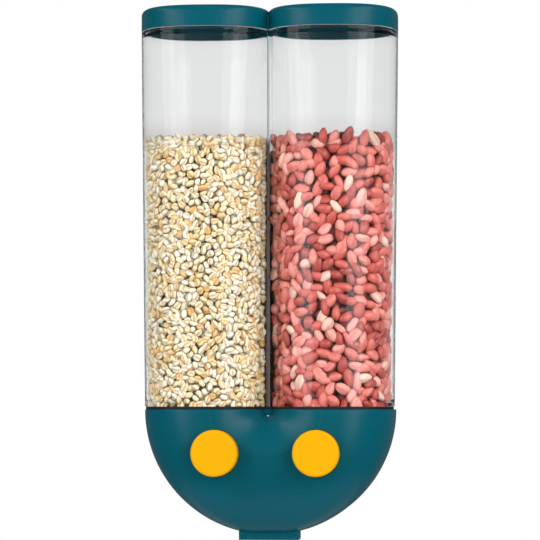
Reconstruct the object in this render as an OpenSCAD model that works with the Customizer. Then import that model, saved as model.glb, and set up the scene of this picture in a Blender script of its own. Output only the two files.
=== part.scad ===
// Wall-mounted double dry-food dispenser: two clear bins over a rounded base with push-button gates.
// Origin: middle of the wall bracket's back face. The front faces -Y and +Z is up.

/* [Bins] */
// Width across both bins at the lid
width = 180; // [166:1:200]
// Depth of the bins at the lid, front to back
depth = 92; // [84:1:100]
// Squareness of each bin's plan, where 2 is an ellipse
plan_power = 2.5; // [2.3:0.1:2.8]
// How far each bin's curve passes the middle plane
bin_overlap = 1.4; // [1:0.1:2.4]
// Radius of the crease between the bins at the lid
crease_r = 1; // [0.8:0.1:1.6]
// Height of the clear bins from the base to the lid's skirt
bin_h = 262.3; // [150:1:320]
// How far each side of the bins draws in from top to bottom
bin_draft = 2.9; // [1.5:0.1:4]
// Wall of the clear bins
bin_wall = 2; // [1.6:0.1:2.4]
// Thickness of the partition between the bins
partition_t = 1.8; // [1.2:0.1:3]
// Height of the neck inside the lid's skirt
neck_h = 8.4; // [6:0.2:10]
// Thickness of the neck's wall
neck_wall = 1.6; // [1.2:0.1:2]
// Thickness of the seal between the bins and the base
seal_t = 1.8; // [1.2:0.1:3]

/* [Lid] */
// Height of the lid over its skirt
lid_h = 16.4; // [15:0.2:22]
// Wall of the lid's skirt
lid_wall = 2; // [1.6:0.1:2.4]
// Rounding round the lid's top
lid_round = 4; // [3:0.2:5]
// Thickness of the lid's top
lid_top_t = 2.4; // [1.8:0.1:3.4]
// Thickness of the rubber ring in the lid
lid_seal_t = 1.1; // [0.8:0.1:1.6]

/* [Base] */
// Wall of the base shell
base_wall = 2.4; // [2:0.1:2.8]
// Roundness of the base's front, where 2 is a circle
front_power = 2.6; // [2.3:0.1:3]
// Thickness of the deck that holds the bins' spigot
deck_t = 10.3; // [9:0.1:12]
// How far the base's flat back stays in from the lid's back edge
back_step = 1.5; // [0.5:0.1:3]
// Thickness of the rear cover
cover_t = 2.4; // [2:0.1:3.2]

/* [Buttons] */
// Distance between the two buttons' middles
button_gap = 69.4; // [68:0.2:76]
// Radius of each button
button_r = 16; // [15:0.1:16.5]
// Depth of the buttons' axes under the base's top edge
button_drop = 30; // [29:0.1:31]
// How far a button stands out of the front
button_out = 12; // [10:0.1:14]
// Travel of a button and its gate
travel = 12; // [11:0.1:13]
// Length of a button's skirt
skirt_l = 22; // [20:0.1:24]
// Wall of a button
button_wall = 1.8; // [1.4:0.1:2.2]

/* [Gates] */
// Width of the throat over each gate
throat_w = 28; // [22:0.5:30]
// Length of the throat over each gate
throat_l = 10; // [7:0.1:10.5]
// Thickness of each gate
gate_t = 2.5; // [2:0.1:2.8]
// Depth of a gate's middle under its button's axis
gate_drop = 11.25; // [11:0.05:11.4]
// Width of the arm between a gate and its button
arm_w = 12; // [8:0.2:12.4]
// Thickness of the plates over and under the gates
plate_t = 2.4; // [2:0.1:3]

/* [Springs] */
// Diameter of the spring wire
wire_d = 1.2; // [0.8:0.1:1.4]
// Mean radius of a spring
coil_r = 8; // [7.8:0.1:8.2]
// Turns of a spring
turns = 7; // [5:1:9]

/* [Outlet] */
// Width of the outlet over its walls
spout_w = 41.4; // [36:0.2:46]
// Depth of the outlet over its walls
spout_d = 27; // [22:0.2:32]
// How far the outlet reaches below the base's round
spout_out = 3.4; // [2:0.1:8]
// Wall of the outlet chute
chute_wall = 1.6; // [1.2:0.1:2]
// Height of the two legs over the straight outlet
legs_h = 25; // [22:0.5:28]

/* [Wall bracket] */
// Width of the wall bracket
bracket_w = 92; // [86:1:100]
// Height of the wall bracket
bracket_h = 40; // [32:1:44]
// Thickness of the wall bracket
bracket_t = 3; // [2.4:0.1:4]
// Depth of the wall bracket's middle under the base's top edge
bracket_drop = 42; // [38:0.5:46]
// Distance between the two wall screws
screw_gap = 40; // [30:1:44]
// Diameter of the wall screws' holes
wall_hole_d = 4.5; // [3.5:0.1:5.5]
// Depth of the countersinks for the wall screws
sink = 1.6; // [1:0.1:1.8]
// Distance between the two hooks' middles
hook_gap = 72; // [66:1:76]
// Width of a hook
hook_w = 12; // [8:0.5:14]
// Height of a hook's lip over its arm
lip_h = 8; // [5:0.5:9]

/* [Fits] */
// Gap between pieces that plug together
fit = 0.3; // [0.2:0.05:0.4]
// Running gap round a sliding gate
play = 0.2; // [0.15:0.05:0.3]
// Gap round a button in its hole
button_fit = 0.4; // [0.3:0.05:0.6]

/* [Hidden] */

TEAL = "#0F5F6B";
CLEAR = "#DDE3E4";
YELLOW = "#FFB400";
DARK = "#2C3032";
WHITE = "#E9E7E0";
STEEL = "#B9BCBE";

lobe_steps = 15;      // facets along half of one bin's curve
arc_steps = 3;        // facets along half of the crease
round_fn = 96;
cut = 1;              // how far a cut runs past a face

// Plan of the bins: two squared-off ellipses that meet in a crease at x = 0.
lobe_a = (width + bin_overlap * 2) / 4;
lobe_cx = width / 2 - lobe_a;
lobe_b = depth / 2;
front_y = lobe_b - bin_draft;         // front of the bins' foot
base_r = width / 2 - bin_draft;       // radius of the base seen from the front
base_in_r = base_r - base_wall;
back_y = lobe_b - back_step;
wall_y = back_y + fit + bracket_t;    // the wall's face

// Heights over the base's top edge
shoulder_z = bin_h;                   // where the lid's skirt begins
neck_top = shoulder_z + neck_h;
skirt_z = shoulder_z + fit;
lid_top = skirt_z + lid_h;
seat_z = neck_top + lid_seal_t + play;  // ceiling over the neck's rim, inside the lid
spigot_bottom = -(deck_t - fit);
spigot_in = bin_draft + base_wall + fit;    // inset of the spigot's outer face
socket_in = spigot_in - fit;
spigot_wall = 1.8;

// Valve, from the button back to the gate
button_x = button_gap / 2;
button_z = -button_drop;
hole_r = button_r + button_fit;
sleeve_r = hole_r + 1.8;
cup_r = button_r - button_wall;       // inside of the button's skirt
face_y = -(front_y + button_out);
inner_face_y = face_y + button_wall;
skirt_y = face_y + skirt_l;           // back edge of the skirt at rest
seat_y = skirt_y + travel + 1.1;      // front of the hopper's upright wall
sleeve_y = skirt_y + 2.1;
relief_y = skirt_y - 7.2;             // where the skirt's sloped back begins, at its top
throat_y = seat_y + 8;                // front edge of the throat
lap = travel - throat_l;              // cover on each side of the throat when shut
gate_top = button_z - gate_drop + gate_t / 2;
gate_bottom = gate_top - gate_t;
gate_w = throat_w + 6;
gate_nose_y = throat_y - travel - 3;
gate_tail_y = throat_y + throat_l + lap;
tab_l = 3;
tab_w = 1.6;
tray_end_y = gate_tail_y + travel + 0.5;
plate_z = gate_top + play;            // underside of the hopper's bottom plate
floor_z = gate_bottom - play;         // top of the tray's floor
tray_z = floor_z - plate_t;
rail_x = gate_w / 2 + tab_w + play;   // inside of the widened rails
tray_w = 2 * (rail_x + 1.8);
ear_x = tray_w / 2 + 1.6;
ear_r = 3.4;
ear_y = throat_y + throat_l + 1;
chute_top = tray_z;
flange_t = 2;
legs_top = chute_top - flange_t;
legs_bottom = legs_top - legs_h;
spout_z = -(base_r + spout_out);

// Hopper: its flange, collar and funnels, with each funnel's mouth and middle section
skin = 1.6;
hopper_ear_r = 4.8;
hopper_web = 18.5;                    // half-width of the flange between the two bins
hopper_flange_t = 1.8;
post_l = 9;                           // post that centres the spring
collar_in = spigot_in + spigot_wall + fit;
flange_in = spigot_in + 1.6;
flange_z = -deck_t - hopper_flange_t;
mouth_z = -0.5;
mouth_in = collar_in + 0.5;
mid_z = -19;
mid_y0 = seat_y + skin;
mid_y1 = depth / 2 - 17;
mid_a = 31;
mid_x = button_x + 3;
hopper_plate_w = 2 * (button_x + ear_x + ear_r);

// Screws: shank radius, head radius, head height
screw_r = 1.4;
head_r = 2.8;
head_h = 1.8;
pilot = screw_r + 0.05;
hopper_screw_l = 8;
tray_screw_l = 13;
tip_room = 0.5;                       // depth of a pilot hole past its screw's tip
tray_tip = tray_screw_l - flange_t - (plate_z - tray_z);   // reach of a tray screw over the plate
cover_screw_l = 12;
cover_angles = [-14, -47, -133, -166];
boss_r = 4.2;
cover_hole_r = base_in_r - boss_r;
boss_y = back_y - cover_t - 18;

// Wall hooks
hook_arm = 4;
hook_z = -bracket_drop;
lift = lip_h + 0.5;

function mirror_x(p) = [-p.x, p.y, -p[2], p[3]];
function mirror_y(p) = [p.x, -p.y, p[2], -p[3]];

// Point of the right bin's curve whose outward normal stands at angle q, with that normal
function lobe_point(q) =
    let(
        c = abs(cos(q)), s = abs(sin(q)), e = 1 / (plan_power - 1),
        k = pow(pow(lobe_a * c, e + 1) + pow(lobe_b * s, e + 1), 1 / plan_power)
    )
    [lobe_cx + sign(cos(q)) * lobe_a * pow(lobe_a * c, e) / k,
     sign(sin(q)) * lobe_b * pow(lobe_b * s, e) / k, cos(q), sin(q)];

// Angle at which the crease's arc leaves the right bin's curve, by halving
function crease_q(lo = 90, hi = 180, n = 30) =
    n == 0 ? (lo + hi) / 2 :
    let(m = (lo + hi) / 2, p = lobe_point(m))
    p.x + crease_r * p[2] > 0 ? crease_q(m, hi, n - 1) : crease_q(lo, m, n - 1);

q_end = crease_q();
crease_y = lobe_point(q_end).y + crease_r * sin(q_end);   // middle of the crease's arc

// Point of the crease's arc, drawn in by inset, whose normal stands at angle q
function crease_point(q, inset) =
    [-(crease_r + inset) * cos(q), crease_y - (crease_r + inset) * sin(q)];

function inset_point(p, inset) = [p.x - inset * p[2], p.y - inset * p[3]];

// Hopper screws: two in the middle and two behind the bins' outer corners
corner_hole = inset_point(lobe_point(45), socket_in - 4);
middle_hole = crease_y;
web_front_y = -(middle_hole + 5);
web_rear_y = middle_hole + 14;
corner_root = inset_point(lobe_point(45), flange_in);
corner_holes = [corner_hole, [-corner_hole.x, corner_hole.y]];
corner_roots = [corner_root, [-corner_root.x, corner_root.y]];
hopper_holes = concat([[0, -middle_hole], [0, middle_hole]], corner_holes);

// One quarter of the plan, from the right-hand end round to x = 0
quarter = concat(
    [for (i = [0:lobe_steps]) lobe_point(q_end * i / lobe_steps)],
    [for (i = [1:arc_steps])
        let(q = q_end + (90 - q_end) * i / arc_steps, p = crease_point(q, 0))
        [p.x, p.y, cos(q), sin(q)]]
);
quarter_n = len(quarter) - 1;
half_plan = concat(quarter, [for (i = [quarter_n - 1:-1:0]) mirror_x(quarter[i])]);
plan = concat(half_plan, [for (i = [2 * quarter_n - 1:-1:1]) mirror_y(half_plan[i])]);

// Outline of both bins drawn in by inset, and of the right bin's half up to the partition
function outline(inset) = [for (p = plan) inset_point(p, inset)];
function cell(inset, edge) =
    let(
        q_stop = acos(-edge / (crease_r + inset)),
        up = concat(
            [for (i = [0:lobe_steps]) inset_point(lobe_point(q_end * i / lobe_steps), inset)],
            [for (i = [1:arc_steps]) crease_point(q_end + (q_stop - q_end) * i / arc_steps, inset)]
        )
    )
    concat([for (i = [len(up) - 1:-1:1]) [up[i].x, -up[i].y]], up);
// One whole bin curve, without the crease
function lobe(inset) =
    let(n = 4 * lobe_steps - 10)
    [for (i = [0:n - 1]) inset_point(lobe_point(360 * i / n), inset)];

// Solid through rings of equally many points, from the bottom ring to the top ring
module loft(rings) {
    n = len(rings[0]);
    last = len(rings) - 1;
    sides = [
        for (i = [0:last - 1], j = [0:n - 1])
        each let(k = (j + 1) % n)
            [[i * n + j, (i + 1) * n + j, (i + 1) * n + k], [i * n + j, (i + 1) * n + k, i * n + k]]
    ];
    bottom = [for (j = [0:n - 1]) j];
    top = [for (j = [n - 1:-1:0]) last * n + j];
    polyhedron([for (r = rings) each r], concat(sides, [bottom, top]), convexity = 6);
}

function at_z(ring, z) = [for (p = ring) [p.x, p.y, z]];

module placed() {
    translate([0, -wall_y, bracket_drop]) children();
}

module along_y(x, y, z) {
    translate([x, y, z]) rotate([-90, 0, 0]) children();
}

module prism(points, z0, z1) {
    translate([0, 0, z0]) linear_extrude(z1 - z0) polygon(points);
}

module band(inset0, inset1, z0, z1) {
    difference() {
        prism(outline(inset0), z0, z1);
        prism(outline(inset1), z0 - cut, z1 + cut);
    }
}

module box(x0, x1, y0, y1, z0, z1) {
    translate([x0, y0, z0]) cube([x1 - x0, y1 - y0, z1 - z0]);
}

module screw(length) {
    translate([0, 0, -head_h]) cylinder(r = head_r, h = head_h, $fn = 32);
    cylinder(r = screw_r, h = length, $fn = 24);
}

module both_sides() {
    children();
    mirror([1, 0, 0]) children();
}

// Closed tube whose wall follows a run of level outlines, up the outside and down the inside
module tube(rings) {
    n = len(rings[0]);
    m = len(rings);
    sides = [
        for (i = [0:m - 1], j = [0:n - 1])
        each let(k = (j + 1) % n, up = (i + 1) % m)
            [[i * n + j, up * n + j, up * n + k], [i * n + j, up * n + k, i * n + k]]
    ];
    polyhedron([for (r = rings) each r], sides, convexity = 8);
}

// Clear bins
module container() color(CLEAR, 0.4) placed() {
    neck_out = lid_wall + fit;
    neck_in = neck_out + neck_wall;
    foot_in = spigot_in + spigot_wall;
    tube([
        at_z(outline(spigot_in), spigot_bottom),
        at_z(outline(spigot_in), seal_t),
        at_z(outline(bin_draft), seal_t),
        at_z(outline(0), shoulder_z),
        at_z(outline(neck_out), shoulder_z),
        at_z(outline(neck_out), neck_top),
        at_z(outline(neck_in), neck_top),
        at_z(outline(neck_in), shoulder_z - 2),
        at_z(outline(bin_wall), shoulder_z - 5),
        at_z(outline(bin_draft + bin_wall), seal_t + 5),
        at_z(outline(foot_in), seal_t),
        at_z(outline(foot_in), spigot_bottom)
    ]);
    loft([
        slab_ring(spigot_in, mouth_z + fit),
        slab_ring(spigot_in, seal_t),
        slab_ring(bin_draft, seal_t + 5),
        slab_ring(0, shoulder_z - 5),
        slab_ring(neck_out, shoulder_z - 2),
        slab_ring(neck_out, neck_top)
    ]);
}

// Level section of the partition, which ends inside the crease's wall
function slab_ring(inset, z) =
    let(t = partition_t / 2, y = crease_y - crease_r - inset - 0.6)
    at_z([[-t, -y], [t, -y], [t, y], [-t, y]], z);

module container_seal() color(DARK) placed() {
    band(bin_draft + 0.6, socket_in, 0, seal_t);
}

// Lid: a rounded cap over each bin, joined by the crease's web
module lid_cap() {
    loft(concat(
        [at_z(lobe(0), skirt_z)],
        [for (a = [0:18:90])
            at_z(lobe(lid_round * (1 - cos(a))), lid_top - lid_round * (1 - sin(a)))]
    ));
}

module lid_web() {
    front = [for (i = [-arc_steps:arc_steps])
        let(q = 90 + (q_end - 90) * i / arc_steps) crease_point(q, 0)];
    prism(concat([for (p = front) [p.x, -p.y]], [for (i = [2 * arc_steps:-1:0]) front[i]]),
        skirt_z, lid_top - lid_round);
}

module lid() color(TEAL) placed() {
    pocket_in = lid_wall + fit + neck_wall + 0.7;
    difference() {
        union() {
            both_sides() lid_cap();
            lid_web();
        }
        prism(outline(lid_wall), skirt_z - cut, seat_z);
        both_sides() loft([
            at_z(cell(pocket_in, 2.5), seat_z - cut),
            at_z(cell(pocket_in, 2.5), seat_z + 1),
            at_z(cell(pocket_in + 2, 3.5), lid_top - lid_top_t)
        ]);
    }
}

module lid_seal() color(WHITE) placed() {
    band(lid_wall + play, lid_wall + fit + neck_wall + 0.3, seat_z - lid_seal_t, seat_z);
}

// Base: level sections that narrow with the round front outline
function base_section(r, b, back, a) =
    let(
        w = cos(a), g = pow(1 - pow(sin(a), front_power), 1 / front_power),
        scale_x = r * w / (lobe_cx + lobe_a), corner = min(2, r * w / 2), side = r * w,
        front = [for (i = [0:10])
            let(p = lobe_point(-90 + 9 * i))
            [p.x * scale_x, p.y * b / lobe_b * g]],
        right = concat(front, [
            for (t = [0:45:90])
            [side - corner * (1 - cos(t)), back - corner * (1 - sin(t))]])
    )
    at_z(concat(right, [for (i = [len(right) - 1:-1:0]) [-right[i].x, right[i].y]]), -r * sin(a));

module base_round(r, b, back, start) {
    steps = 14;
    end = 88;
    loft([for (i = [steps:-1:0]) base_section(r, b, back, start + (end - start) * i / steps)]);
}

// The crease's hollow turned about the front-to-back axis, which ends it in a round scoop
module scoop(inset) {
    curve = [for (i = [quarter_n:-1:0])
        let(p = inset_point(quarter[i], inset))
        if (p.x >= 0 && p.x < lobe_cx - 6) [max(p.x, 0), p.y]];
    last = curve[len(curve) - 1];
    rotate([90, 0, 0]) rotate_extrude($fn = round_fn)
        polygon(concat(curve, [[last.x, depth], [0, depth]]));
}

module base_cavity() {
    difference() {
        base_round(base_in_r, front_y - base_wall, back_y + cut, asin(deck_t / base_in_r));
        scoop(bin_draft + base_wall);
        both_sides() difference() {
            along_y(button_x, -depth, button_z)
                cylinder(r = sleeve_r, h = depth + sleeve_y, $fn = round_fn);
            // Room over the guide sleeve for the hopper's flange
            box(0, width, -depth, depth, flange_z - fit, 0);
        }
        for (a = cover_angles)
            along_y(cover_hole_r * cos(a), boss_y, cover_hole_r * sin(a))
                cylinder(r = boss_r, h = back_y - cover_t - boss_y, $fn = 48);
    }
}

module base_shell() color(TEAL) placed() {
    difference() {
        base_round(base_r, front_y, back_y, 0);
        scoop(bin_draft);
        prism(outline(socket_in), -deck_t - cut, cut);
        base_cavity();
        both_sides() along_y(button_x, -depth, button_z)
            cylinder(r = hole_r, h = depth + sleeve_y + cut, $fn = round_fn);
        box(-spout_w / 2 - fit, spout_w / 2 + fit, -spout_d / 2 - fit, spout_d / 2 + fit,
            spout_z, legs_bottom);
        for (p = hopper_holes)
            translate([p.x, p.y, -deck_t - cut])
                cylinder(r = pilot, h = hopper_screw_l + cut, $fn = 24);
        for (a = cover_angles)
            along_y(cover_hole_r * cos(a), back_y - cover_screw_l, cover_hole_r * sin(a))
                cylinder(r = pilot, h = cover_screw_l, $fn = 24);
    }
}

module rear_cover() color(TEAL) placed() {
    r = base_in_r - fit;
    difference() {
        along_y(0, back_y - cover_t, 0) cylinder(r = r, h = cover_t, $fn = round_fn);
        box(-width, width, 0, depth, -deck_t - fit, width);
        for (a = cover_angles)
            along_y(cover_hole_r * cos(a), 0, cover_hole_r * sin(a))
                cylinder(r = screw_r + 0.2, h = depth, $fn = 24);
        for (s = [-1, 1])
            box(s * hook_gap / 2 - hook_w / 2 - 1, s * hook_gap / 2 + hook_w / 2 + 1, 0, depth,
                hook_z + hook_arm / 2 - hook_arm - lift - 0.5, hook_z + hook_arm / 2);
    }
}

module rear_cover_screws() color(STEEL) placed() {
    for (a = cover_angles)
        along_y(cover_hole_r * cos(a), back_y, cover_hole_r * sin(a))
            rotate([180, 0, 0]) screw(cover_screw_l - 1);
}

// Hopper: flange and collar under the bins, with a funnel to each throat
function squircle(guide, cx, cy, a, b) =
    [for (p = guide)
        let(t = atan2(p.y / lobe_b * b, (p.x - lobe_cx) / lobe_a * a),
            r = pow(pow(abs(cos(t)) / a, 8) + pow(abs(sin(t)) / b, 8), -1 / 8))
        [cx + r * cos(t), cy + r * sin(t)]];
function mix(p, q, t) = [for (i = [0:len(p) - 1]) p[i] * (1 - t) + q[i] * t];

function mouth_ring(grow) = cell(mouth_in - grow, 1.2 - grow);
function mid_ring(grow) =
    squircle(mouth_ring(0), mid_x, (mid_y0 + mid_y1) / 2, mid_a + grow, (mid_y1 - mid_y0) / 2 + grow);
function throat_ring(grow) =
    squircle(mouth_ring(0), button_x, throat_y + throat_l / 2, throat_w / 2 + grow,
        throat_l / 2 + grow);

module funnel_outside() {
    t = (mouth_z + deck_t) / (mouth_z - mid_z);
    loft([
        at_z(throat_ring(skin), plate_z + plate_t / 2),
        at_z(mid_ring(skin), mid_z - 0.6),
        at_z(mix(mouth_ring(skin), mid_ring(skin), t), -deck_t - hopper_flange_t / 2)
    ]);
}

module funnel_inside() {
    loft([
        at_z(throat_ring(0), plate_z + plate_t / 2),
        at_z(mid_ring(0), mid_z),
        at_z(mouth_ring(0), mouth_z),
        at_z(mouth_ring(0), mouth_z + cut)
    ]);
}

module hopper_ears() {
    for (s = [-1, 1]) translate([button_x + s * ear_x, ear_y, 0]) children();
}

module hopper() color(WHITE) placed() {
    difference() {
        union() {
            prism(outline(collar_in), flange_z, mouth_z);
            prism(outline(flange_in), flange_z, -deck_t);
            box(-hopper_web, hopper_web, web_front_y, web_rear_y, flange_z, -deck_t);
            for (p = concat(corner_holes, corner_roots))
                translate([p.x, p.y, flange_z])
                    cylinder(r = hopper_ear_r, h = hopper_flange_t, $fn = 48);
            both_sides() {
                funnel_outside();
                box(button_x - tray_w / 2, button_x + tray_w / 2, seat_y, tray_end_y + 2.4,
                    plate_z, plate_z + plate_t);
                hopper_ears() translate([0, 0, plate_z]) cylinder(r = ear_r, h = 9, $fn = 48);
                along_y(button_x, seat_y - post_l, button_z)
                    cylinder(r = coil_r - 2, h = post_l + 1, $fn = 48);
                along_y(button_x, seat_y, button_z)
                    cylinder(r = coil_r + 1.5, h = throat_y - seat_y, $fn = 48);
            }
        }
        both_sides() {
            funnel_inside();
            box(button_x - throat_w / 2, button_x + throat_w / 2, throat_y, throat_y + throat_l,
                plate_z - cut, plate_z + plate_t / 2 + 0.1);
            hopper_ears() translate([0, 0, plate_z - cut])
                cylinder(r = pilot, h = cut + tray_tip + tip_room, $fn = 24);
        }
        for (p = hopper_holes)
            translate([p.x, p.y, flange_z - cut])
                cylinder(r = screw_r + 0.2, h = hopper_flange_t + 2 * cut, $fn = 24);
    }
}

module hopper_screws() color(STEEL) placed() {
    for (p = hopper_holes) translate([p.x, p.y, flange_z]) screw(hopper_screw_l);
}

// Tray that a gate slides in
module gate_tray() {
    difference() {
        union() {
            box(button_x - tray_w / 2, button_x + tray_w / 2, seat_y, tray_end_y + 2.4,
                tray_z, plate_z);
            hopper_ears() translate([0, 0, tray_z])
                cylinder(r = ear_r, h = plate_z - tray_z, $fn = 48);
        }
        box(button_x - gate_w / 2 - play, button_x + gate_w / 2 + play, seat_y - cut, tray_end_y,
            floor_z, plate_z + cut);
        box(button_x - rail_x, button_x + rail_x, gate_tail_y - tab_l - 0.1, tray_end_y,
            floor_z, plate_z + cut);
        box(button_x - throat_w / 2, button_x + throat_w / 2, throat_y, throat_y + throat_l,
            tray_z - cut, floor_z + cut);
        hopper_ears() translate([0, 0, tray_z - cut])
            cylinder(r = screw_r + 0.2, h = plate_z - tray_z + 2 * cut, $fn = 24);
    }
}

module gate_tray_right() color(WHITE) placed() gate_tray();
module gate_tray_left() color(WHITE) placed() mirror([1, 0, 0]) gate_tray();

module tray_screws() color(STEEL) placed() both_sides() hopper_ears()
    translate([0, 0, chute_top - flange_t]) screw(tray_screw_l);

// Gate with its arm, and the button that it clips into
module gate() {
    x0 = button_x - gate_w / 2;
    x1 = button_x + gate_w / 2;
    difference() {
        union() {
            box(x0, x1, gate_nose_y, gate_tail_y, gate_bottom, gate_top);
            box(x0 - tab_w, x1 + tab_w, gate_tail_y - tab_l, gate_tail_y, gate_bottom, gate_top);
            box(button_x - arm_w / 2, button_x + arm_w / 2, inner_face_y, gate_nose_y + 1,
                gate_bottom, gate_top);
        }
        box(button_x - throat_w / 2, button_x + throat_w / 2, throat_y - travel,
            throat_y + throat_l - travel, gate_bottom - cut, gate_top + cut);
    }
}

module gate_right() color(WHITE) placed() gate();
module gate_left() color(WHITE) placed() mirror([1, 0, 0]) gate();

module button() {
    edge = 1.8;
    rim = [for (t = [0:15:90]) [button_r - edge * (1 - sin(t)), edge * (1 - cos(t))]];
    socket_top = button_z - coil_r - wire_d / 2 - 0.3;
    difference() {
        union() {
            difference() {
                along_y(button_x, face_y, button_z) rotate_extrude($fn = round_fn)
                    polygon(concat([[0, 0]], rim, [
                        [button_r, skirt_l], [cup_r, skirt_l], [cup_r, button_wall], [0, button_wall]]));
                // The back of the skirt slopes to pass under the funnel.
                translate([button_x - button_r - cut, relief_y, button_z + button_r])
                    rotate([-40, 0, 0]) cube([2 * button_r + 2 * cut, skirt_l, skirt_l]);
            }
            along_y(button_x, inner_face_y - 0.5, button_z)
                cylinder(r = coil_r - 1.2, h = 3.5, $fn = 48);
            box(button_x - arm_w / 2 - 1.6, button_x + arm_w / 2 + 1.6, inner_face_y - 0.5,
                inner_face_y + 5, gate_bottom - 0.9, socket_top);
        }
        along_y(button_x, inner_face_y, button_z) cylinder(r = coil_r - 3, h = 6, $fn = 48);
        box(button_x - arm_w / 2 - 0.1, button_x + arm_w / 2 + 0.1, inner_face_y,
            inner_face_y + 6, gate_bottom - 0.1, gate_top + 0.1);
    }
}

module button_right() color(YELLOW) placed() button();
module button_left() color(YELLOW) placed() mirror([1, 0, 0]) button();

// Return spring between the button and the hopper's upright wall, with closed ends
module spring() {
    per_turn = 14;
    sides = 8;
    r = wire_d / 2;
    length = seat_y - inner_face_y - 2 * r - 0.2;
    closed = wire_d * 1.05;
    pitch = (length - 2 * closed) / (turns - 2);
    n = turns * per_turn;
    function along(u) =
        u < 1 ? closed * u : u > turns - 1 ? length - closed * (turns - u) : closed + pitch * (u - 1);
    rings = [for (i = [0:n])
        let(u = i / per_turn, t = 360 * u)
        [for (j = [0:sides - 1])
            let(s = 360 * j / sides, d = coil_r + r * cos(s))
            [d * cos(t), d * sin(t), along(u) + r * sin(s)]]];
    along_y(button_x, inner_face_y + r + 0.1, button_z) mirror([0, 1, 0]) loft(rings);
}

module spring_right() color(STEEL) placed() spring();
module spring_left() color(STEEL) placed() mirror([1, 0, 0]) spring();

// Outlet chute: a leg from each gate into one straight outlet
module leg(x0, x1, y0, y1, sx0, sx1, sy, z0, z1) {
    loft([
        [[sx0, -sy, z0], [sx1, -sy, z0], [sx1, sy, z0], [sx0, sy, z0]],
        [[x0, y0, z1], [x1, y0, z1], [x1, y1, z1], [x0, y1, z1]]
    ]);
}

module outlet_chute() color(TEAL) placed() {
    x0 = button_x - throat_w / 2;
    x1 = button_x + throat_w / 2;
    y1 = throat_y + throat_l;
    difference() {
        union() {
            box(-hopper_plate_w / 2 + ear_r, hopper_plate_w / 2 - ear_r, seat_y, y1 + 6,
                legs_top, chute_top);
            both_sides() {
                hopper_ears() translate([0, 0, legs_top]) cylinder(r = ear_r, h = flange_t, $fn = 48);
                leg(x0 - chute_wall, x1 + chute_wall, throat_y - chute_wall, y1 + chute_wall,
                    -chute_wall, spout_w / 2, spout_d / 2, legs_bottom, legs_top);
            }
            box(-spout_w / 2, spout_w / 2, -spout_d / 2, spout_d / 2, spout_z, legs_bottom);
        }
        both_sides() {
            leg(x0, x1, throat_y, y1, 0, spout_w / 2 - chute_wall, spout_d / 2 - chute_wall,
                legs_bottom, legs_top);
            box(x0, x1, throat_y, y1, legs_top - 0.1, chute_top + cut);
            hopper_ears() translate([0, 0, legs_top - cut])
                cylinder(r = screw_r + 0.2, h = flange_t + 2 * cut, $fn = 24);
        }
        box(-spout_w / 2 + chute_wall, spout_w / 2 - chute_wall,
            -spout_d / 2 + chute_wall, spout_d / 2 - chute_wall, spout_z - cut, legs_bottom + 0.1);
    }
}

// Wall bracket with two upward hooks
module wall_bracket() color(DARK) placed() {
    r = 6;
    y0 = wall_y - bracket_t;
    reach = back_y - cover_t - fit;       // back face of a hook's lip
    difference() {
        union() {
            for (sx = [-1, 1], sz = [-1, 1])
                along_y(sx * (bracket_w / 2 - r), y0, hook_z + sz * (bracket_h / 2 - r))
                    cylinder(r = r, h = bracket_t, $fn = 48);
            box(-bracket_w / 2 + r, bracket_w / 2 - r, y0, wall_y,
                hook_z - bracket_h / 2, hook_z + bracket_h / 2);
            box(-bracket_w / 2, bracket_w / 2, y0, wall_y,
                hook_z - bracket_h / 2 + r, hook_z + bracket_h / 2 - r);
            for (s = [-1, 1]) {
                x0 = s * hook_gap / 2 - hook_w / 2;
                box(x0, x0 + hook_w, reach - 2.3, y0 + 0.5, hook_z - hook_arm / 2, hook_z + hook_arm / 2);
                box(x0, x0 + hook_w, reach - 2.3, reach, hook_z - hook_arm / 2,
                    hook_z + hook_arm / 2 + lip_h);
            }
        }
        for (s = [-1, 1]) {
            along_y(s * screw_gap / 2, y0 - cut, hook_z)
                cylinder(d = wall_hole_d, h = bracket_t + 2 * cut, $fn = 48);
            along_y(s * screw_gap / 2, y0, hook_z)
                cylinder(d1 = wall_hole_d + 2 * sink, d2 = wall_hole_d, h = sink, $fn = 48);
        }
    }
}

wall_bracket();
base_shell();
rear_cover();
rear_cover_screws();
hopper();
hopper_screws();
gate_tray_left();
gate_tray_right();
tray_screws();
outlet_chute();
container();
container_seal();
spring_left();
spring_right();
lid();
lid_seal();
button_left();
gate_left();
button_right();
gate_right();
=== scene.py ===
"""Blender scene for a wall-mounted double dry-food dispenser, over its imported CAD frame."""

import math

import bpy
import numpy as np
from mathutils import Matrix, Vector


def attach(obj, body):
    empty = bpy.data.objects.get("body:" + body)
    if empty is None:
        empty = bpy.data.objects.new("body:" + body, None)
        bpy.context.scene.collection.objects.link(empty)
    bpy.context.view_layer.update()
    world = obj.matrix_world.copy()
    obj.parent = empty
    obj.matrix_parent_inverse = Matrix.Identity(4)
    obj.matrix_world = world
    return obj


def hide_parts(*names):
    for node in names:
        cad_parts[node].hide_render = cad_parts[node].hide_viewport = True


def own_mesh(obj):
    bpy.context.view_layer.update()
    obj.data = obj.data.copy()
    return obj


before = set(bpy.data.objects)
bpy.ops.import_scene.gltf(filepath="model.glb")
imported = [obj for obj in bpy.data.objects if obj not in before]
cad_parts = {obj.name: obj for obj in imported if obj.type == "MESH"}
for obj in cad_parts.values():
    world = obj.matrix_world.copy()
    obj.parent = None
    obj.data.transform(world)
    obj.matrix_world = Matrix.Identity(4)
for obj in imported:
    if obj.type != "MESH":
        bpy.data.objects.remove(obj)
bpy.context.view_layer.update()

# Sizes in millimetres, in the dispenser's own frame: z = 0 at the base's top edge, y = 0 at the
# bins' middle plane. The row frame has its origin on the wall, at the middle of the bracket.
MM = 0.001
WALL_Y, DROP = 47.8, 42.0
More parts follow.
